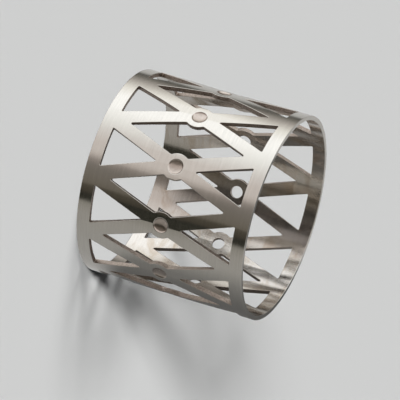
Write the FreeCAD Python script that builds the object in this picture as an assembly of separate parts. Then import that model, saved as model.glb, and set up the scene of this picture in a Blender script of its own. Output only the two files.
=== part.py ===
import FreeCAD, Part
import math
import os

# Napkin ring, millimetres, +Z up.
# One short open tube of metal, cut into a lattice: eleven X-shaped crossings stand side by side
# round the tube, between a plain band at each end. The ring stands on one end.
# The origin is at the middle of that end, and Z is the axis of the ring.

# The tube
outer_diameter = 45.0
length = 38.0
wall = 1.0
rim_band = 2.9          # height of the plain band at each end
rim_bevel = 0.15        # bevel on the four edges of the two ends

# The lattice
crossing_count = 11     # X-shaped crossings round the tube
arm_width = 3.0         # width of each arm, square to its run
notch_radius = 0.5      # where an arm runs into a boss

# The boss at the middle of each crossing, and the round feature in it
boss_diameter = 5.9
eye_diameter = 3.2      # both the dished recesses and the through holes
dish_floor = 0.4        # metal left under the middle of a dish
eye_bevel = 0.2         # width of the bevel round the mouth of a dish or hole
front_dishes = 6        # crossings on the front that have a dish, the others have a hole

# Places that follow from these sizes
outer_radius = outer_diameter / 2
inner_radius = outer_radius - wall
middle = length / 2
half_pitch = math.pi * outer_radius / crossing_count
half_pitch_angle = math.pi / crossing_count
# The arms' centre lines meet halfway up the end bands, so the bands carry them all round.
arm_angle = math.atan2(half_pitch, middle - rim_band / 2)
half_arm = arm_width / 2
back_angle = math.pi / 2            # the middle of the crossings with holes
clear = wall                        # how far a cutter stands past the wall it cuts


def spot(along, around, radius):
    """A point of a cutter's outline: along the axis from the middle, and an arc length
    around the outside of the tube, seen square on from outside."""
    return FreeCAD.Vector(radius, outer_radius * math.sin(around / outer_radius), middle + along)


def turned(shape, angle):
    """The shape turned about the ring's axis."""
    copy = shape.copy()
    copy.rotate(FreeCAD.Vector(0, 0, 0), FreeCAD.Vector(0, 0, 1), math.degrees(angle))
    return copy


def radial_cylinder(radius, start, end, around=0.0):
    """A cylinder that runs outwards, from one distance to another, level with the crossings."""
    offset = outer_radius * math.sin(around / outer_radius)
    return Part.makeCylinder(radius, end - start, FreeCAD.Vector(start, offset, middle),
                             FreeCAD.Vector(1, 0, 0))


def window_prism(outline):
    """A prism through the wall on the +X side, from an outline of (along, around) points."""
    inside = inner_radius * math.cos(half_pitch_angle) - clear
    points = [spot(along, around, inside) for along, around in outline]
    face = Part.Face(Part.makePolygon(points + points[:1]))
    return face.extrude(FreeCAD.Vector(outer_radius + clear - inside, 0, 0))


def triangle_cutter(side):
    """The window between the two arms of one crossing and an end band, on side +1 or -1.
    It runs past the lattice's end, where the band then closes it."""
    tip = half_arm / math.sin(arm_angle)
    base = middle - rim_band + clear
    half_base = (base - tip) * math.tan(arm_angle)
    return window_prism([(side * tip, 0.0), (side * base, half_base), (side * base, -half_base)])


def diamond_cutter():
    """The long window between two neighbouring crossings, with their bosses bulging into it."""
    half_height = half_pitch - half_arm / math.cos(arm_angle)
    half_length = half_height / math.tan(arm_angle)
    prism = window_prism([(half_length, 0.0), (0.0, half_height), (-half_length, 0.0), (0.0, -half_height)])
    start = inner_radius * math.cos(half_pitch_angle) - 2 * clear
    for side in (1, -1):
        boss = radial_cylinder(boss_diameter / 2, start, outer_radius + 2 * clear, side * half_pitch)
        prism = prism.cut(boss)
    notches = []
    for edge in prism.Edges:
        runs_outwards = edge.Curve.TypeId == "Part::GeomLine" and abs(edge.Curve.Direction.x) > 0.999
        if runs_outwards and abs(edge.CenterOfMass.z - middle) < boss_diameter / 2:
            notches.append(edge)
    return prism.makeFillet(notch_radius, notches)


def bevel_cone():
    """A cone that breaks the mouth of a dish or hole, at 45 degrees."""
    eye_radius = eye_diameter / 2
    reach = eye_bevel + clear
    start = FreeCAD.Vector(outer_radius + clear, 0, middle)
    return Part.makeCone(eye_radius + reach, eye_radius, reach, start, FreeCAD.Vector(-1, 0, 0))


def dish_cutter():
    """A shallow round dish in the outside of a boss, with a bevelled mouth."""
    eye_radius = eye_diameter / 2
    depth = wall - dish_floor
    ball_radius = (eye_radius ** 2 + depth ** 2) / (2 * depth)
    centre = FreeCAD.Vector(outer_radius - depth + ball_radius, 0, middle)
    ball = Part.makeSphere(ball_radius, centre, FreeCAD.Vector(1, 0, 0))
    mouth = radial_cylinder(eye_radius, inner_radius, outer_radius + clear)
    return ball.common(mouth).fuse(bevel_cone())


def hole_cutter():
    """A round hole through a boss, with a bevelled mouth."""
    hole = radial_cylinder(eye_diameter / 2, inner_radius - clear, outer_radius + clear)
    return hole.fuse(bevel_cone())


def tube(start, end):
    """A plain stretch of the tube between two heights."""
    foot = FreeCAD.Vector(0, 0, start)
    outside = Part.makeCylinder(outer_radius, end - start, foot)
    return outside.cut(Part.makeCylinder(inner_radius, end - start, foot))


def end_band(start, end, free_end):
    """The plain band at one end, with both edges of its free end bevelled."""
    band = tube(start, end)
    rims = [edge for edge in band.Edges
            if edge.Curve.TypeId == "Part::GeomCircle" and abs(edge.CenterOfMass.z - free_end) < rim_bevel]
    return band.makeChamfer(rim_bevel, rims)


def lattice():
    """The openwork stretch of the tube between the two bands."""
    windows = []
    eyes = []
    triangles = [triangle_cutter(1), triangle_cutter(-1)]
    diamond = diamond_cutter()
    dish = dish_cutter()
    hole = hole_cutter()
    hole_count = crossing_count - front_dishes
    for number in range(crossing_count):
        # Counted from the middle of the crossings with holes, so that those come first.
        place = number - (hole_count - 1) / 2
        angle = back_angle + place * 2 * half_pitch_angle
        windows.extend(turned(triangle, angle) for triangle in triangles)
        windows.append(turned(diamond, angle + half_pitch_angle))
        eyes.append(turned(hole if number < hole_count else dish, angle))
    return tube(rim_band, length - rim_band).cut(windows).cut(eyes)


def ring():
    """The whole napkin ring, one piece."""
    lower_band = end_band(0, rim_band, 0)
    upper_band = end_band(length - rim_band, length, length)
    return lattice().fuse([lower_band, upper_band])


os.makedirs("parts", exist_ok=True)
ring().exportStep("parts/lattice_ring.step")
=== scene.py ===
import math

import bpy
from mathutils import Matrix, Vector


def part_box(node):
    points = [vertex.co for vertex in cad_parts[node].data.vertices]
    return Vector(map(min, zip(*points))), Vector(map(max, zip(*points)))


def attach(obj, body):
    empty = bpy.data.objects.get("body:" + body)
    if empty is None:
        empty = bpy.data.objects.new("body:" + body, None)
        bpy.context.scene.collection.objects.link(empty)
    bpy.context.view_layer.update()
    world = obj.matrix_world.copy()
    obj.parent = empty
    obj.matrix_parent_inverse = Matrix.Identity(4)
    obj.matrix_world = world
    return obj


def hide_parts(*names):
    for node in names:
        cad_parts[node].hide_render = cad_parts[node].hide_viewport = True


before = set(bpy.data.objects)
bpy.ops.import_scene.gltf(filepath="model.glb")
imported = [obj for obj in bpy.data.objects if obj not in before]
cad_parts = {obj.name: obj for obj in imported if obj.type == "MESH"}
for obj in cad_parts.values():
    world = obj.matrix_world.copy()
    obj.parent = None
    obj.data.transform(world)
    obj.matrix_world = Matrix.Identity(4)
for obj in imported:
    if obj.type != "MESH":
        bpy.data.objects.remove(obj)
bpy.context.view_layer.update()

bl_info = {
    "name": "Lattice napkin ring",
    "version": (1, 0, 0),
    "blender": (4, 5, 0),
    "location": "View3D > Sidebar > Napkin Ring",
    "description": "An openwork metal napkin ring and the plain studio that it stands in",
    "category": "Add Mesh",
}

# The ring stands on one end, with its axis up. All lengths are in metres.
MM = 0.001
LOW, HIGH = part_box("lattice_ring")
OUTER_DIAMETER = HIGH.x - LOW.x
LENGTH = HIGH.z - LOW.z
PHOTO_SIDE = 400.0          # the photograph's width and height, in pixels
SENSOR_WIDTH = 36.0         # of the camera, in millimetres
MERGE = 0.0001 * MM         # points nearer than this are one, in a cutter
JOIN_MERGE = 0.0015 * MM    # and where the crossings are joined

# Light from round the ring's axis: degrees from the middle of the softbox, and how bright it is there.
# A plain fill from behind, a dark gap, the broad softbox, its warm dim side in two steps, a black flag,
# and the fill again.
LIGHT_ROUND = (
    (-180, (0.50, 0.50, 0.50)),
    (-96, (0.62, 0.62, 0.61)),
    (-90, (0.10, 0.10, 0.09)),
    (-82, (0.22, 0.21, 0.19)),
    (-70, (0.62, 0.59, 0.56)),
    (-54, (1.28, 1.28, 1.24)),
    (-38, (1.62, 1.66, 1.70)),
    (-22, (1.60, 1.64, 1.68)),
    (-4, (1.30, 1.33, 1.34)),
    (10, (1.04, 1.02, 1.02)),
    (24, (0.88, 0.82, 0.80)),
    (34, (0.87, 0.82, 0.80)),
    (38, (0.76, 0.70, 0.67)),
    (44, (0.38, 0.34, 0.32)),
    (52, (0.26, 0.24, 0.22)),
    (71, (0.21, 0.19, 0.16)),
    (72, (0.10, 0.09, 0.07)),
    (81, (0.08, 0.07, 0.055)),
    (82, (0.035, 0.035, 0.03)),
    (90.4, (0.03, 0.03, 0.02)),
    (90.9, (0.35, 0.34, 0.31)),
    (104, (0.45, 0.44, 0.42)),
    (140, (0.46, 0.46, 0.45)),
    (180, (0.50, 0.50, 0.50)),
)
BRIGHTEST = 2.5             # the world's strength, which the light's colours are divided by
SOFTBOX_AZIMUTH = 217       # degrees, the middle of the softbox
TABLE_AZIMUTH = SOFTBOX_AZIMUTH - 180
CAMERA_SIDE = -90           # degrees, the side of the ring that the camera looks at

# Lamps that light the floor: azimuth, elevation and spread in degrees, and strength. Together they give
# the floor as much light as the inner lamp alone gives the round of it inside the ring.
KEY_LAMP = (248, 17, 10, 4.6)
SKY_LAMP = (205, 52, 26, 1.58)
TOP_LAMP = (0, 90, 8, 0.11)
INNER_LAMP = (0, 90, 8, 2.7)


class LatticeSizes(bpy.types.PropertyGroup):
    """Sizes of the tube and of the lattice cut into it."""
    outer_diameter: bpy.props.FloatProperty(
        name="Outer diameter", description="Across the outside of the tube",
        default=OUTER_DIAMETER, unit="LENGTH", precision=4)
    length: bpy.props.FloatProperty(
        name="Length", description="From one end face to the other",
        default=LENGTH, unit="LENGTH", precision=4)
    wall: bpy.props.FloatProperty(
        name="Wall", description="Thickness of the metal",
        default=1.0 * MM, unit="LENGTH", precision=4)
    rim_band: bpy.props.FloatProperty(
        name="End band", description="Height of the plain band at each end",
        default=2.9 * MM, unit="LENGTH", precision=4)
    crossing_count: bpy.props.IntProperty(
        name="Crossings", description="X-shaped crossings round the ring", default=11, min=5)
    arm_width: bpy.props.FloatProperty(
        name="Arm width", description="Width of each arm, square to its run",
        default=3.0 * MM, unit="LENGTH", precision=4)
    boss_diameter: bpy.props.FloatProperty(
        name="Boss diameter", description="The round boss at the middle of each crossing",
        default=5.9 * MM, unit="LENGTH", precision=4)
    notch_radius: bpy.props.FloatProperty(
        name="Notch radius", description="Where an arm runs into a boss",
        default=0.5 * MM, unit="LENGTH", precision=5)
    corner_radius: bpy.props.FloatProperty(
        name="Corner radius", description="In the corners of the windows",
        default=0.2 * MM, unit="LENGTH", precision=5)
    dish_diameter: bpy.props.FloatProperty(
        name="Dish diameter", description="The round dish in each boss on the front",
        default=3.3 * MM, unit="LENGTH", precision=5)
    hole_diameter: bpy.props.FloatProperty(
        name="Hole diameter", description="The round hole in each boss on the back",
        default=2.75 * MM, unit="LENGTH", precision=5)
    hole_bevel: bpy.props.FloatProperty(
        name="Hole bevel", description="Width of the bevel round the outside of a hole",
        default=0.2 * MM, unit="LENGTH", precision=5)
    dish_lip: bpy.props.FloatProperty(
        name="Dish lip", description="Width of the steep lip round the inside of a dish",
        default=0.17 * MM, unit="LENGTH", precision=5)
    dish_depth: bpy.props.FloatProperty(
        name="Dish depth", description="From the outside of the tube to the middle of a dish",
        default=0.6 * MM, unit="LENGTH", precision=5)
    front_dishes: bpy.props.IntProperty(
        name="Dishes", description="Crossings that have a dish, the others have a hole", default=6)
    edge_round: bpy.props.FloatProperty(
        name="Edge rounding", description="Radius of the worn edges of the sheet",
        default=0.1 * MM, unit="LENGTH", precision=5)


class MetalLook(bpy.types.PropertyGroup):
    """Colours and finish of the metal."""
    face_colour: bpy.props.FloatVectorProperty(
        name="Face colour", description="Brushed faces of the ring",
        subtype="COLOR", size=3, default=(0.60, 0.575, 0.53), min=0, max=1)
    # The inside's colour is a little warmer than the faces': partly the inside's own tone, partly painted
    # shade for the less light that it catches.
    inner_colour: bpy.props.FloatVectorProperty(
        name="Inner colour", description="Inside of the tube, which catches less light and looks warmer",
        subtype="COLOR", size=3, default=(0.60, 0.565, 0.52), min=0, max=1)
    tarnish_colour: bpy.props.FloatVectorProperty(
        name="Tarnish colour", description="Brown patches on the inside of the tube",
        subtype="COLOR", size=3, default=(0.40, 0.31, 0.22), min=0, max=1)
    tarnish: bpy.props.FloatProperty(
        name="Tarnish", description="Strength of the brown patches on the inside",
        default=0.6, min=0, max=1)
    cut_colour: bpy.props.FloatVectorProperty(
        name="Cut colour", description="Walls of the windows, where the metal was cut",
        subtype="COLOR", size=3, default=(0.34, 0.285, 0.245), min=0, max=1)
    dish_colour: bpy.props.FloatVectorProperty(
        name="Dish colour", description="The dished recesses in the bosses",
        subtype="COLOR", size=3, default=(0.47, 0.41, 0.365), min=0, max=1)
    face_roughness: bpy.props.FloatProperty(
        name="Face roughness", description="Gloss of the brushed faces",
        default=0.16, min=0, max=1)
    cut_roughness: bpy.props.FloatProperty(
        name="Cut roughness", description="Gloss of the cut walls", default=0.34, min=0, max=1)
    dish_roughness: bpy.props.FloatProperty(
        name="Dish roughness", description="Gloss of the dished recesses", default=0.22, min=0, max=1)


class StudioLook(bpy.types.PropertyGroup):
    """Camera, floor and light."""
    azimuth: bpy.props.FloatProperty(
        name="Camera azimuth", description="Way that the camera looks, from 0 along +Y",
        default=math.radians(-6.78), subtype="ANGLE")
    elevation: bpy.props.FloatProperty(
        name="Camera elevation", description="Angle that the camera looks down at",
        default=math.radians(18.77), subtype="ANGLE")
    roll: bpy.props.FloatProperty(
        name="Camera roll", description="Turn of the camera about its line of sight",
        default=math.radians(106.67), subtype="ANGLE")
    distance: bpy.props.FloatProperty(
        name="Camera distance", description="From the camera to the middle of the ring",
        default=0.6829, unit="LENGTH")
    lens: bpy.props.FloatProperty(name="Lens", description="Focal length in millimetres", default=287.9)
    ring_right: bpy.props.FloatProperty(
        name="Ring to the right", description="Pixels from the photograph's middle to the ring's",
        default=3.35)
    ring_up: bpy.props.FloatProperty(
        name="Ring upwards", description="Pixels from the photograph's middle to the ring's",
        default=6.0)
    floor_colour: bpy.props.FloatVectorProperty(
        name="Floor colour", description="The plain pale floor",
        subtype="COLOR", size=3, default=(0.72, 0.725, 0.72), min=0, max=1)


def deselect():
    """Nothing selected, in object mode."""
    if bpy.context.object and bpy.context.object.mode != "OBJECT":
        bpy.ops.object.mode_set(mode="OBJECT")
    bpy.ops.object.select_all(action="DESELECT")


def select(*objects):
    """These objects selected, the first of them active."""
    deselect()
    for thing in objects:
        thing.select_set(True)
    bpy.context.view_layer.objects.active = objects[0]


def select_parts(thing, kind, chosen):
    """In edit mode of that kind, the parts of the mesh that the test picks are selected."""
    select(thing)
    bpy.ops.object.mode_set(mode="EDIT")
    bpy.ops.mesh.select_mode(type=kind)
    bpy.ops.mesh.select_all(action="DESELECT")
    bpy.ops.object.mode_set(mode="OBJECT")
    mesh = thing.data
    parts = {"VERT": mesh.vertices, "EDGE": mesh.edges, "FACE": mesh.polygons}[kind]
    for part in parts:
        part.select = chosen(part)
    bpy.ops.object.mode_set(mode="EDIT")


def apply_modifier(thing, kind, **settings):
    """A modifier added, set and applied."""
    select(thing)
    modifier = thing.modifiers.new(kind.title(), kind)
    for name, value in settings.items():
        setattr(modifier, name, value)
    bpy.ops.object.modifier_apply(modifier=modifier.name)


class Outline:
    """A flat outline in the XZ plane, drawn by drawing a point out along lines and round arcs."""

    def __init__(self, start):
        deselect()
        bpy.ops.mesh.primitive_plane_add(size=MM, location=(start[0], 0, start[1]))
        self.thing = bpy.context.object
        bpy.ops.object.transform_apply(location=True)
        bpy.ops.object.mode_set(mode="EDIT")
        bpy.ops.mesh.select_mode(type="VERT")
        bpy.ops.mesh.merge(type="CENTER")
        self.place = Vector((start[0], 0, start[1]))

    def line(self, end):
        """Straight to a point."""
        end = Vector((end[0], 0, end[1]))
        bpy.ops.mesh.extrude_region_move(TRANSFORM_OT_translate={"value": end - self.place})
        self.place = end

    def arc(self, centre, angle, steps):
        """Round a centre, by an angle that turns from +X towards +Z."""
        centre = Vector((centre[0], 0, centre[1]))
        bpy.ops.mesh.spin(steps=steps, angle=angle, center=centre, axis=(0, 1, 0))
        self.place = centre + Matrix.Rotation(angle, 3, (0, -1, 0)) @ (self.place - centre)

    def close(self, name, start, end):
        """Filled and drawn out along Y into a prism."""
        bpy.ops.mesh.select_all(action="SELECT")
        bpy.ops.mesh.remove_doubles(threshold=MERGE)
        bpy.ops.mesh.edge_face_add()
        bpy.ops.transform.translate(value=(0, start, 0))
        bpy.ops.mesh.extrude_region_move(TRANSFORM_OT_translate={"value": (0, end - start, 0)})
        bpy.ops.mesh.select_all(action="SELECT")
        bpy.ops.mesh.normals_make_consistent(inside=False)
        bpy.ops.object.mode_set(mode="OBJECT")
        self.thing.name = name
        return self.thing


def turn(tip, centre, towards):
    """The angle about the centre from one point to another, between minus and plus a half turn."""
    a = math.atan2(tip[1] - centre[1], tip[0] - centre[0])
    b = math.atan2(towards[1] - centre[1], towards[0] - centre[0])
    return (b - a + math.pi) % (2 * math.pi) - math.pi


class Plan:
    """Sizes that the flat lattice is drawn from, worked out from the driving ones."""
    TIP_STEPS = 8
    NOTCH_STEPS = 4
    BOSS_STEPS = 18
    CORNER_STEPS = 6
    EYE_STEPS = 48
    BOWL_STEPS = 9
    COLUMNS = 24            # columns that each crossing is divided into, so that it bends smoothly

    def __init__(self, sizes):
        self.outer_radius = sizes.outer_diameter / 2
        self.length = sizes.length
        self.wall = sizes.wall
        self.middle = sizes.length / 2
        self.half_pitch = math.pi * self.outer_radius / sizes.crossing_count
        self.base = self.middle - sizes.rim_band
        # The arms' centre lines meet halfway up the end bands.
        self.lean = math.atan2(self.half_pitch, self.middle - sizes.rim_band / 2)
        self.half_arm = sizes.arm_width / 2
        self.boss = sizes.boss_diameter / 2
        self.notch = sizes.notch_radius
        self.corner = sizes.corner_radius
        self.dish = sizes.dish_diameter / 2
        self.hole = sizes.hole_diameter / 2
        self.hole_bevel = sizes.hole_bevel
        self.dish_lip = sizes.dish_lip
        self.lip_depth = 1.5 * sizes.dish_lip       # steeper than 45 degrees
        self.dish_depth = sizes.dish_depth
        self.edge = sizes.edge_round


def long_window(plan):
    """Cutter for the long window between two crossings, middle at the origin: four straight
    edges, a boss bulging in from each side, soft notches and tight tips."""
    lean, half_arm, corner, notch = plan.lean, plan.half_arm, plan.corner, plan.notch
    top = (plan.half_pitch - half_arm / math.cos(lean)) / math.tan(lean)
    along = Vector((math.sin(lean), -math.cos(lean)))
    inward = Vector((-math.cos(lean), -math.sin(lean)))
    apex = Vector((0, top))
    boss_centre = Vector((plan.half_pitch, 0))
    tip_centre = Vector((0, top - corner / math.sin(lean)))
    tip_end = tip_centre - inward * corner
    foot = (boss_centre - apex).dot(along)
    reach = math.sqrt((plan.boss + notch) ** 2 - (half_arm + notch) ** 2)
    line_end = apex + along * (foot - reach)
    notch_centre = line_end + inward * notch
    boss_start = boss_centre + (notch_centre - boss_centre) * plan.boss / (plan.boss + notch)

    def mirrored(point, side, up):
        return Vector((point.x * side, point.y * up))

    outline = Outline(mirrored(tip_end, 1, 1))
    # Clockwise from the upper tip, a quarter at a time: down to the boss on the right, and so on.
    for side, up in ((1, 1), (1, -1), (-1, -1), (-1, 1)):
        downwards = side == up
        line, start = mirrored(line_end, side, up), mirrored(boss_start, side, up)
        centre, tip = mirrored(notch_centre, side, up), mirrored(tip_end, side, up)
        boss = mirrored(boss_centre, side, up)
        if downwards:
            outline.line(line)
            outline.arc(centre, turn(line, centre, start), plan.NOTCH_STEPS)
            outline.arc(boss, turn(start, boss, mirrored(boss_start, side, -up)), plan.BOSS_STEPS)
        else:
            outline.arc(centre, turn(start, centre, line), plan.NOTCH_STEPS)
            outline.line(tip)
            middle = mirrored(tip_centre, side, up)
            across = mirrored(tip_end, -side, up)
            outline.arc(middle, turn(tip, middle, across), plan.TIP_STEPS)
    return outline.close("long_window", -plan.wall, 2 * plan.wall)


def end_window(plan, up):
    """Cutter for the triangle between a crossing and an end band, with tight corners."""
    tip = plan.half_arm / math.sin(plan.lean)
    height = plan.base - tip
    half_base = height * math.tan(plan.lean)
    radius = height / 1.5           # of the circle through the corners of an even triangle
    deselect()
    bpy.ops.mesh.primitive_cylinder_add(
        vertices=3, radius=radius, depth=3 * plan.wall, rotation=(-up * math.pi / 2, 0, 0),
        location=(0, plan.wall / 2, up * (tip + radius)))
    window = bpy.context.object
    window.name = "end_window"
    bpy.ops.object.transform_apply(location=True, rotation=True)
    spread = half_base / (radius * math.sqrt(3) / 2)
    bpy.ops.object.mode_set(mode="EDIT")
    bpy.ops.mesh.select_all(action="SELECT")
    bpy.ops.transform.resize(value=(spread, 1, 1), center_override=(0, 0, 0))
    bpy.ops.object.mode_set(mode="OBJECT")
    base_angle = math.pi / 2 - plan.lean
    points = window.data.vertices
    for at_tip, half_angle in ((True, plan.lean), (False, base_angle / 2)):
        def corner(edge):
            a, b = (points[i].co for i in edge.vertices)
            runs_through = abs(a.y - b.y) > plan.wall
            return runs_through and (abs(a.x) < half_base / 4) == at_tip
        select_parts(window, "EDGE", corner)
        bpy.ops.mesh.bevel(offset=plan.corner / math.tan(half_angle), segments=plan.CORNER_STEPS,
                           affect="EDGES")
        bpy.ops.object.mode_set(mode="OBJECT")
    return window


def lathe(name, profile, steps):
    """A closed solid turned about the Y axis from a profile of (radius, depth) points."""
    deselect()
    bpy.ops.mesh.primitive_plane_add(size=MM, location=(0, 0, 0))
    turned = bpy.context.object
    turned.name = name
    bpy.ops.object.mode_set(mode="EDIT")
    bpy.ops.mesh.select_mode(type="VERT")
    bpy.ops.mesh.merge(type="CENTER")
    place = Vector((0, 0, 0))
    for number, (radius, depth) in enumerate(profile):
        point = Vector((radius, depth, 0))
        if number == 0:
            bpy.ops.transform.translate(value=point)
        else:
            bpy.ops.mesh.extrude_region_move(TRANSFORM_OT_translate={"value": point - place})
        place = point
    bpy.ops.mesh.select_all(action="SELECT")
    bpy.ops.mesh.spin(steps=steps, angle=2 * math.pi, center=(0, 0, 0), axis=(0, 1, 0))
    bpy.ops.mesh.select_all(action="SELECT")
    bpy.ops.mesh.remove_doubles(threshold=MERGE)
    bpy.ops.mesh.normals_make_consistent(inside=False)
    bpy.ops.object.mode_set(mode="OBJECT")
    return turned


def dish_cutter(plan):
    """Cutter for a shallow round dish with a steep lip, its mouth at depth 0."""
    above = plan.wall
    bowl = plan.dish - plan.dish_lip
    bowl_depth = plan.dish_depth - plan.lip_depth
    ball = (bowl ** 2 + bowl_depth ** 2) / (2 * bowl_depth)
    spread = math.asin(bowl / ball)
    profile = [(0, -above), (plan.dish, -above), (plan.dish, 0)]
    for number in range(plan.BOWL_STEPS + 1):
        angle = spread * (1 - number / plan.BOWL_STEPS)
        profile.append((ball * math.sin(angle), plan.dish_depth - ball * (1 - math.cos(angle))))
    return lathe("dish_cutter", profile, plan.EYE_STEPS)


def hole_cutter(plan):
    """Cutter for a round hole with a bevelled mouth."""
    above = plan.wall
    profile = [(0, -above), (plan.hole + plan.hole_bevel + above, -above), (plan.hole, plan.hole_bevel),
               (plan.hole, 2 * plan.wall), (0, 2 * plan.wall)]
    return lathe("hole_cutter", profile, plan.EYE_STEPS)


def copy_of(thing, offset):
    """A copy with its own mesh, moved."""
    select(thing)
    bpy.ops.object.duplicate()
    bpy.ops.transform.translate(value=offset)
    bpy.ops.object.transform_apply(location=True)
    return bpy.context.object


def cut(thing, cutter):
    """The cutter taken out of the thing, and removed."""
    apply_modifier(thing, "BOOLEAN", operation="DIFFERENCE", solver="EXACT", object=cutter)
    bpy.data.objects.remove(cutter)


def flat_crossing(plan):
    """One crossing of the lattice, flat: the sheet's outer face looks along -Y, at y = 0."""
    deselect()
    bpy.ops.mesh.primitive_cube_add(size=1, location=(0, plan.wall / 2, 0))
    sheet = bpy.context.object
    sheet.name = "crossing"
    sheet.scale = (2 * plan.half_pitch, plan.wall, plan.length)
    bpy.ops.object.transform_apply(location=True, scale=True)
    bpy.ops.object.mode_set(mode="EDIT")
    bpy.ops.mesh.select_all(action="SELECT")
    bpy.ops.mesh.bisect(plane_co=(0, 0, 0), plane_no=(1, 0, 0))
    bpy.ops.object.mode_set(mode="OBJECT")
    window = long_window(plan)
    for side in (1, -1):
        cut(sheet, copy_of(window, (side * plan.half_pitch, 0, 0)))
    bpy.data.objects.remove(window)
    for up in (1, -1):
        cut(sheet, end_window(plan, up))
    return sheet


def kind_of_face(mesh, face, plan):
    """Which finish a face of a flat crossing has: 0 outside, 1 cut wall, 2 inside, 3 dish."""
    mouth = plan.dish + plan.edge / 4
    if plan.middle - abs(face.center.z) < 2 * plan.edge:
        return 0
    if face.normal.y > 0.3:
        return 2
    if face.normal.y > -0.3:
        return 1
    points = (mesh.vertices[number].co for number in face.vertices)
    in_eye = all(math.hypot(point.x, point.z) < mouth for point in points)
    return 3 if in_eye and face.center.y > 0 else 0


def finish_crossing(sheet, plan, eye_cutter, finishes):
    """The eye cut, the side faces opened, the edges rounded, the columns cut for bending, and
    each face given its finish."""
    cut(sheet, eye_cutter)
    select_parts(sheet, "FACE", lambda face: abs(face.normal.x) > 0.9
                 and abs(abs(face.center.x) - plan.half_pitch) < 0.01 * MM)
    bpy.ops.mesh.delete(type="FACE")
    bpy.ops.object.mode_set(mode="OBJECT")
    apply_modifier(sheet, "BEVEL", width=plan.edge, segments=3, limit_method="ANGLE",
                   angle_limit=math.radians(35), use_clamp_overlap=False, loop_slide=False,
                   miter_outer="MITER_SHARP")
    reach = plan.dish - 2 * plan.edge
    width = 2 * plan.half_pitch / plan.COLUMNS
    for number in range(1, plan.COLUMNS):
        place = number * width - plan.half_pitch
        select_parts(sheet, "FACE", lambda face: math.hypot(face.center.x, face.center.z) > reach
                     or abs(face.normal.y) < 0.5)
        bpy.ops.mesh.bisect(plane_co=(place, 0, 0), plane_no=(1, 0, 0), threshold=0.001 * MM)
        bpy.ops.object.mode_set(mode="OBJECT")
    for material in finishes:
        sheet.data.materials.append(material)
    for face in sheet.data.polygons:
        face.material_index = kind_of_face(sheet.data, face, plan)
    return sheet


def bent_ring(plan, sizes, finishes):
    """All the crossings side by side, bent into the ring and joined."""
    blank = flat_crossing(plan)
    with_dish = finish_crossing(copy_of(blank, (0, 0, 0)), plan, dish_cutter(plan), finishes)
    with_hole = finish_crossing(blank, plan, hole_cutter(plan), finishes)
    count = sizes.crossing_count
    holes = count - sizes.front_dishes
    copies = []
    for number in range(count):
        place = number - (count - 1) / 2
        source = with_hole if abs(place) < holes / 2 else with_dish
        copies.append(copy_of(source, (place * 2 * plan.half_pitch, 0, 0)))
    bpy.data.objects.remove(with_dish)
    bpy.data.objects.remove(with_hole)
    select(*copies)
    bpy.ops.object.join()
    ring = bpy.context.object
    bpy.ops.object.mode_set(mode="EDIT")
    bpy.ops.mesh.select_all(action="SELECT")
    bpy.ops.mesh.remove_doubles(threshold=JOIN_MERGE)
    bpy.ops.object.mode_set(mode="OBJECT")
    apply_modifier(ring, "SIMPLE_DEFORM", deform_method="BEND", deform_axis="Z", angle=2 * math.pi)
    bpy.ops.object.mode_set(mode="EDIT")
    bpy.ops.mesh.select_all(action="SELECT")
    bpy.ops.mesh.remove_doubles(threshold=JOIN_MERGE)
    # Rounding the edges leaves a tiny sliver with a free edge in the mouth of each hole.
    bpy.ops.mesh.select_mode(type="EDGE")
    bpy.ops.mesh.select_all(action="DESELECT")
    bpy.ops.mesh.select_non_manifold(use_wire=False, use_multi_face=False, use_non_contiguous=False,
                                     use_verts=False)
    bpy.ops.mesh.delete(type="EDGE")
    bpy.ops.mesh.select_mode(type="VERT")
    bpy.ops.mesh.select_all(action="SELECT")
    # The bend leaves the middle crossing in front: it goes to the back, and the ring stands on its end.
    bpy.ops.transform.translate(value=(0, -plan.outer_radius, plan.middle))
    bpy.ops.transform.rotate(value=math.pi, orient_axis="Z", center_override=(0, 0, 0))
    bpy.ops.object.mode_set(mode="OBJECT")
    ring.name = "openwork_ring"
    ring.data.name = "openwork_ring"
    return ring


class Wire:
    """A shader socket that can be used in a Python expression."""

    def __init__(self, finish, socket):
        self.finish = finish
        self.socket = socket

    def _math(self, operation, first, second):
        return self.finish.node("ShaderNodeMath", {"operation": operation}, {0: first, 1: second})

    def __add__(self, other):
        return self._math("ADD", self, other)

    def __radd__(self, other):
        return self._math("ADD", other, self)

    def __sub__(self, other):
        return self._math("SUBTRACT", self, other)

    def __rsub__(self, other):
        return self._math("SUBTRACT", other, self)

    def __mul__(self, other):
        return self._math("MULTIPLY", self, other)

    def __rmul__(self, other):
        return self._math("MULTIPLY", other, self)


class Finish:
    """A node tree of a material or a world, built up by calls."""

    def __init__(self, tree):
        self.tree = tree
        tree.nodes.clear()

    def node(self, kind, settings, inputs, output=0):
        """One node: settings first, then the values or wires of its sockets. Gives an output's wire."""
        made = self.tree.nodes.new(kind)
        for name, value in settings.items():
            if name == "stops":
                ramp = made.color_ramp
                while len(ramp.elements) < len(value):
                    ramp.elements.new(0.5)
                for element, (place, colour) in zip(ramp.elements, value):
                    element.position = place
                    element.color = (*colour, 1)
            else:
                setattr(made, name, value)
        for name, value in inputs.items():
            if isinstance(value, Wire):
                self.tree.links.new(value.socket, made.inputs[name])
            else:
                made.inputs[name].default_value = value
        return Wire(self, made.outputs[output]) if len(made.outputs) else None

    def mix(self, factor, first, second):
        """A colour between two, each a colour or a wire."""
        first, second = (part if isinstance(part, Wire) else (*part, 1) for part in (first, second))
        return self.node("ShaderNodeMix", {"data_type": "RGBA"}, {
            "Factor": factor, "A": first, "B": second}, "Result")

    def shades(self, factor, colour, darkest, lightest):
        """A colour that varies between a darker and a lighter shade of it."""
        dark = [part * darkest for part in colour]
        light = [min(1.0, part * lightest) for part in colour]
        return self.mix(factor, dark, light)


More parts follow.
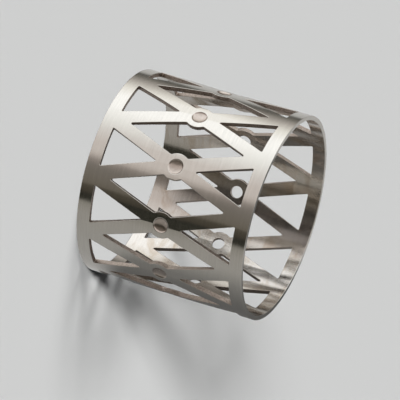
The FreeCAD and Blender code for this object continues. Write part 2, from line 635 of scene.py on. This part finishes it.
def metal(name, colour, roughness, build):
    """A metal: build adds what varies over the surface, and gives the wires for the shader."""
    material = bpy.data.materials.new(name)
    material.use_nodes = True
    finish = Finish(material.node_tree)
    inputs = {"Base Color": (*colour, 1), "Metallic": 1.0, "Roughness": roughness, "Anisotropic": 0.8,
              "Anisotropic Rotation": 0.25}
    inputs.update(build(finish))
    shader = finish.node("ShaderNodeBsdfPrincipled", {}, inputs)
    finish.node("ShaderNodeOutputMaterial", {}, {"Surface": shader})
    return material


def brushed_face(name, colour, look, tarnish):
    """Satin faces with fine grain that runs round the ring, and brown tarnish in soft patches, whose
    strength is from 0, none, to 1."""
    def build(finish):
        place = finish.node("ShaderNodeTexCoord", {}, {}, "Object")
        grain_place = finish.node("ShaderNodeMapping", {}, {"Vector": place, "Scale": (160, 160, 3600)})
        grain = finish.node("ShaderNodeTexNoise", {}, {
            "Vector": grain_place, "Scale": 1.0, "Detail": 4.0, "Roughness": 0.7})
        cloud = finish.node("ShaderNodeTexNoise", {}, {
            "Vector": place, "Scale": 260.0, "Detail": 2.0, "Roughness": 0.5})
        bump = finish.node("ShaderNodeBump", {}, {
            "Strength": 0.3, "Distance": 0.02 * MM, "Height": grain})
        roughness = look.face_roughness + (grain - 0.5) * 0.10 + (cloud - 0.5) * 0.08
        streak = (grain - 0.5) * 0.8 + 0.5
        tint = finish.shades(streak, colour, 0.80, 1.16)
        if tarnish:
            blotch_place = finish.node("ShaderNodeMapping", {}, {
                "Vector": place, "Location": (3.1, 0.4, 1.7), "Scale": (120, 120, 260)})
            blotch = finish.node("ShaderNodeTexNoise", {}, {
                "Vector": blotch_place, "Scale": 1.0, "Detail": 5.0, "Roughness": 0.65, "Distortion": 0.6})
            cover = finish.node("ShaderNodeMapRange", {"interpolation_type": "SMOOTHSTEP"}, {
                "Value": blotch, "From Min": 0.46, "From Max": 0.72, "To Max": tarnish})
            tint = finish.mix(cover, tint, look.tarnish_colour)
        return {"Base Color": tint, "Roughness": roughness, "Normal": bump}
    return metal(name, colour, look.face_roughness, build)


def cut_wall(look):
    """Rougher, browner walls with the dark and light marks of the cut."""
    def build(finish):
        place = finish.node("ShaderNodeTexCoord", {}, {}, "Object")
        marks = finish.node("ShaderNodeTexNoise", {}, {
            "Vector": place, "Scale": 3800.0, "Detail": 3.0, "Roughness": 0.65})
        bump = finish.node("ShaderNodeBump", {}, {
            "Strength": 0.7, "Distance": 0.05 * MM, "Height": marks})
        tint = finish.shades((marks - 0.5) * 1.8 + 0.5, look.cut_colour, 0.25, 1.7)
        return {"Base Color": tint, "Roughness": look.cut_roughness + (marks - 0.5) * 0.3, "Normal": bump}
    return metal("cut_wall", look.cut_colour, look.cut_roughness, build)


def dish_face(look):
    """Dull, cloudy metal in the dishes, where no brush reached."""
    def build(finish):
        place = finish.node("ShaderNodeTexCoord", {}, {}, "Object")
        cloud = finish.node("ShaderNodeTexNoise", {}, {
            "Vector": place, "Scale": 1100.0, "Detail": 3.0, "Roughness": 0.6})
        bump = finish.node("ShaderNodeBump", {}, {
            "Strength": 0.5, "Distance": 0.03 * MM, "Height": cloud})
        tint = finish.shades(cloud, look.dish_colour, 0.72, 1.25)
        return {"Base Color": tint, "Roughness": look.dish_roughness + (cloud - 0.5) * 0.3,
                "Normal": bump, "Anisotropic": 0.0}
    return metal("dish_face", look.dish_colour, look.dish_roughness, build)


class NAPKINRING_OT_ring(bpy.types.Operator):
    """Add the openwork ring: a flat lattice, cut, edged and bent round"""
    bl_idname = "napkin_ring.ring"
    bl_label = "Openwork ring"

    def execute(self, context):
        sizes = context.scene.lattice_sizes
        look = context.scene.metal_look
        plan = Plan(sizes)
        finishes = [brushed_face("brushed_face", look.face_colour, look, 0), cut_wall(look),
                    brushed_face("inner_face", look.inner_colour, look, look.tarnish), dish_face(look)]
        ring = bent_ring(plan, sizes, finishes)
        bpy.ops.object.shade_smooth_by_angle(angle=math.radians(40))
        apply_modifier(ring, "WEIGHTED_NORMAL", mode="FACE_AREA", keep_sharp=True)
        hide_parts("lattice_ring")
        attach(ring, "root")
        ring.visible_diffuse = False
        return {"FINISHED"}


class NAPKINRING_OT_studio(bpy.types.Operator):
    """Add the pale floor, the soft light and the camera"""
    bl_idname = "napkin_ring.studio"
    bl_label = "Studio"

    def execute(self, context):
        studio = context.scene.studio_look
        ground, disc = add_floor(studio)
        add_world(context.scene)
        # Painted shadow: the ring's shadow on a table beside it, as a dark sheet that only the metal's
        # reflections show.
        add_painted_shade("painted_table_shadow", TABLE_AZIMUTH, OUTER_DIAMETER / 2 + 0.4 * MM,
                  (-66, -10, 0, 20), (-3, 5, 40, 70), 0.75)
        # Painted shade inside the ring, as a dark sheet that only the metal's reflections show, darkening
        # the far wall's inside.
        add_painted_shade("painted_inner_shade", CAMERA_SIDE, 15 * MM, (-15, -12, 4, 8), (-9, -6, 50, 60), 0.6)
        add_lamp("key_lamp", KEY_LAMP, ground, blocker=add_caster())
        add_lamp("sky_lamp", SKY_LAMP, ground)
        add_lamp("top_lamp", TOP_LAMP, ground)
        add_lamp("inner_lamp", INNER_LAMP, disc, blocker=disc)
        add_camera(context.scene, studio)
        return {"FINISHED"}


def add_floor(studio):
    """A plain pale floor that carries on past the edges of the picture, and its round inside the ring,
    which has a lamp of its own so that it is as even as in the photograph."""
    material = bpy.data.materials.new("floor_paint")
    material.use_nodes = True
    finish = Finish(material.node_tree)
    shader = finish.node("ShaderNodeBsdfPrincipled", {}, {
        "Base Color": (*studio.floor_colour, 1), "Roughness": 0.9, "Specular IOR Level": 0.0})
    finish.node("ShaderNodeOutputMaterial", {}, {"Surface": shader})
    deselect()
    bpy.ops.mesh.primitive_plane_add(size=12, location=(0, 0, 0))
    ground = bpy.context.object
    ground.name = "floor"
    bpy.ops.mesh.primitive_circle_add(vertices=128, radius=OUTER_DIAMETER / 2 - 1.1 * MM, fill_type="NGON",
                                      location=(0, 0, 0.01 * MM))
    disc = bpy.context.object
    disc.name = "inner_floor"
    for thing in (ground, disc):
        thing.data.materials.append(material)
        thing.visible_glossy = False
        thing.visible_shadow = False
    return ground, disc


def add_world(scene):
    """Soft light all round."""
    world = bpy.data.worlds.new("studio_light")
    world.use_nodes = True
    scene.world = world
    world.cycles_visibility.diffuse = False
    finish = Finish(world.node_tree)
    direction = finish.node("ShaderNodeTexCoord", {}, {}, "Generated")
    turned = finish.node("ShaderNodeVectorRotate", {"rotation_type": "Z_AXIS"}, {
        "Vector": direction, "Angle": math.radians(-SOFTBOX_AZIMUTH)})
    around = finish.node("ShaderNodeTexGradient", {"gradient_type": "RADIAL"}, {"Vector": turned})
    stops = [(angle / 360 + 0.5, [part / BRIGHTEST for part in colour]) for angle, colour in LIGHT_ROUND]
    colour = finish.node("ShaderNodeValToRGB", {"stops": stops}, {"Fac": around})
    light = finish.node("ShaderNodeBackground", {}, {"Color": colour, "Strength": BRIGHTEST})
    finish.node("ShaderNodeOutputWorld", {}, {"Surface": light})
    scene.view_settings.view_transform = "Standard"


def add_painted_shade(name, azimuth, distance, across, along, strength):
    """A soft upright dark sheet of painted shade that only reflections show. It faces away from the axis,
    at an azimuth in degrees and a distance. It fades in and out sideways and upwards between the places
    given, in millimetres, and its strength is the share of light that it stops."""
    side = math.radians(azimuth)
    away = Vector((math.cos(side), math.sin(side), 0))
    deselect()
    bpy.ops.mesh.primitive_plane_add(size=0.3, location=(0, 0, 0))
    card = bpy.context.object
    card.name = name
    level = Vector((-math.sin(side), math.cos(side), 0))
    turned = Matrix((level, Vector((0, 0, 1)), away)).transposed().to_4x4()
    card.matrix_world = Matrix.Translation(away * distance) @ turned
    material = bpy.data.materials.new(name)
    material.use_nodes = True
    finish = Finish(material.node_tree)
    place = finish.node("ShaderNodeTexCoord", {}, {}, "Object")
    sideways = finish.node("ShaderNodeSeparateXYZ", {}, {"Vector": place}, "X")

    def fade(value, start, end):
        return finish.node("ShaderNodeMapRange", {"interpolation_type": "SMOOTHSTEP"}, {
            "Value": value, "From Min": start * MM, "From Max": end * MM})

    mask = strength
    upwards = Wire(finish, sideways.socket.node.outputs["Y"])
    for value, (start, full, fading, gone) in ((sideways, across), (upwards, along)):
        mask = fade(value, start, full) * (1 - fade(value, fading, gone)) * mask
    dark = finish.node("ShaderNodeEmission", {}, {"Color": (0, 0, 0, 1), "Strength": 0.0})
    clear = finish.node("ShaderNodeBsdfTransparent", {}, {})
    surface = finish.node("ShaderNodeMixShader", {}, {0: mask, 1: clear, 2: dark})
    finish.node("ShaderNodeOutputMaterial", {}, {"Surface": surface})
    card.data.materials.append(material)
    card.visible_camera = False
    card.visible_diffuse = False
    card.visible_shadow = False


def add_caster():
    """A copy of one side of the ring that only casts the key lamp's shadow, so that the shadow falls
    beside the ring as in the photograph."""
    caster = copy_of(bpy.data.objects["openwork_ring"], (0, 0, 0))
    caster.name = "shadow_caster"
    bpy.ops.object.mode_set(mode="EDIT")
    bpy.ops.mesh.select_all(action="SELECT")
    bpy.ops.mesh.bisect(plane_co=(2 * MM, 0, 0), plane_no=(1, 0, 0), clear_inner=True)
    bpy.ops.object.mode_set(mode="OBJECT")
    caster.visible_camera = False
    caster.visible_diffuse = False
    caster.visible_glossy = False
    return caster


def group_of(name, thing):
    """A collection that tells a lamp what it lights, or what casts its shadows."""
    group = bpy.data.collections.new(name)
    group.objects.link(thing)
    return group


def add_lamp(name, settings, lit, blocker=None):
    """A distant lamp aimed at the ring, from its azimuth, elevation and spread in degrees and its
    strength. It lights one stretch of floor alone. Everything casts its shadows, or only the blocker."""
    azimuth, elevation, spread = (math.radians(value) for value in settings[:3])
    away = Vector((math.cos(azimuth) * math.cos(elevation), math.sin(azimuth) * math.cos(elevation),
                   math.sin(elevation)))
    deselect()
    bpy.ops.object.light_add(type="SUN", location=away)
    lamp = bpy.context.object
    lamp.name = name
    lamp.rotation_euler = away.to_track_quat("Z", "Y").to_euler()
    lamp.data.angle = spread
    lamp.data.energy = settings[3]
    lamp.light_linking.receiver_collection = group_of(name + "_lit", lit)
    if blocker:
        lamp.light_linking.blocker_collection = group_of(name + "_blocker", blocker)
    lamp.visible_glossy = False
    lamp.visible_camera = False


def add_camera(scene, studio):
    """The camera at the photograph's viewing angle, with its roll and framing."""
    azimuth, elevation, roll = studio.azimuth, studio.elevation, studio.roll
    forward = Vector((-math.sin(azimuth) * math.cos(elevation),
                      math.cos(azimuth) * math.cos(elevation), -math.sin(elevation)))
    level_right = forward.cross(Vector((0, 0, 1))).normalized()
    level_up = level_right.cross(forward)
    right = level_right * math.cos(roll) + level_up * math.sin(roll)
    up = level_up * math.cos(roll) - level_right * math.sin(roll)
    bpy.ops.object.camera_add()
    camera = bpy.context.object
    camera.name = "photo_camera"
    camera.data.lens = studio.lens
    camera.data.sensor_width = SENSOR_WIDTH
    camera.data.clip_start = 0.01
    camera.data.clip_end = 50.0
    pixel = studio.distance * SENSOR_WIDTH / studio.lens / PHOTO_SIDE
    centre = (LOW + HIGH) / 2
    aim = centre - (right * studio.ring_right + up * studio.ring_up) * pixel
    place = aim - forward * studio.distance
    turned = Matrix((right, up, -forward)).transposed().to_4x4()
    camera.matrix_world = Matrix.Translation(place) @ turned
    scene.camera = camera


class NAPKINRING_PT_panel(bpy.types.Panel):
    """Lists the sizes, the looks and the studio's settings, and the buttons that add the ring and the
    studio
    """
    bl_idname = "NAPKINRING_PT_panel"
    bl_label = "Napkin Ring"
    bl_space_type = "VIEW_3D"
    bl_region_type = "UI"
    bl_category = "Napkin Ring"

    def draw(self, context):
        for group in (context.scene.lattice_sizes, context.scene.metal_look, context.scene.studio_look):
            for name in group.__annotations__:
                self.layout.prop(group, name)
        for operator in (NAPKINRING_OT_ring, NAPKINRING_OT_studio):
            self.layout.operator(operator.bl_idname)


CLASSES = (LatticeSizes, MetalLook, StudioLook, NAPKINRING_OT_ring, NAPKINRING_OT_studio,
           NAPKINRING_PT_panel)


def register():
    for item in CLASSES:
        bpy.utils.register_class(item)
    bpy.types.Scene.lattice_sizes = bpy.props.PointerProperty(type=LatticeSizes)
    bpy.types.Scene.metal_look = bpy.props.PointerProperty(type=MetalLook)
    bpy.types.Scene.studio_look = bpy.props.PointerProperty(type=StudioLook)


def unregister():
    del bpy.types.Scene.studio_look
    del bpy.types.Scene.metal_look
    del bpy.types.Scene.lattice_sizes
    for item in reversed(CLASSES):
        bpy.utils.unregister_class(item)


def main():
    """Builds the ring and its studio."""
    register()
    bpy.ops.napkin_ring.ring()
    bpy.ops.napkin_ring.studio()


if __name__ == "__main__":
    main()
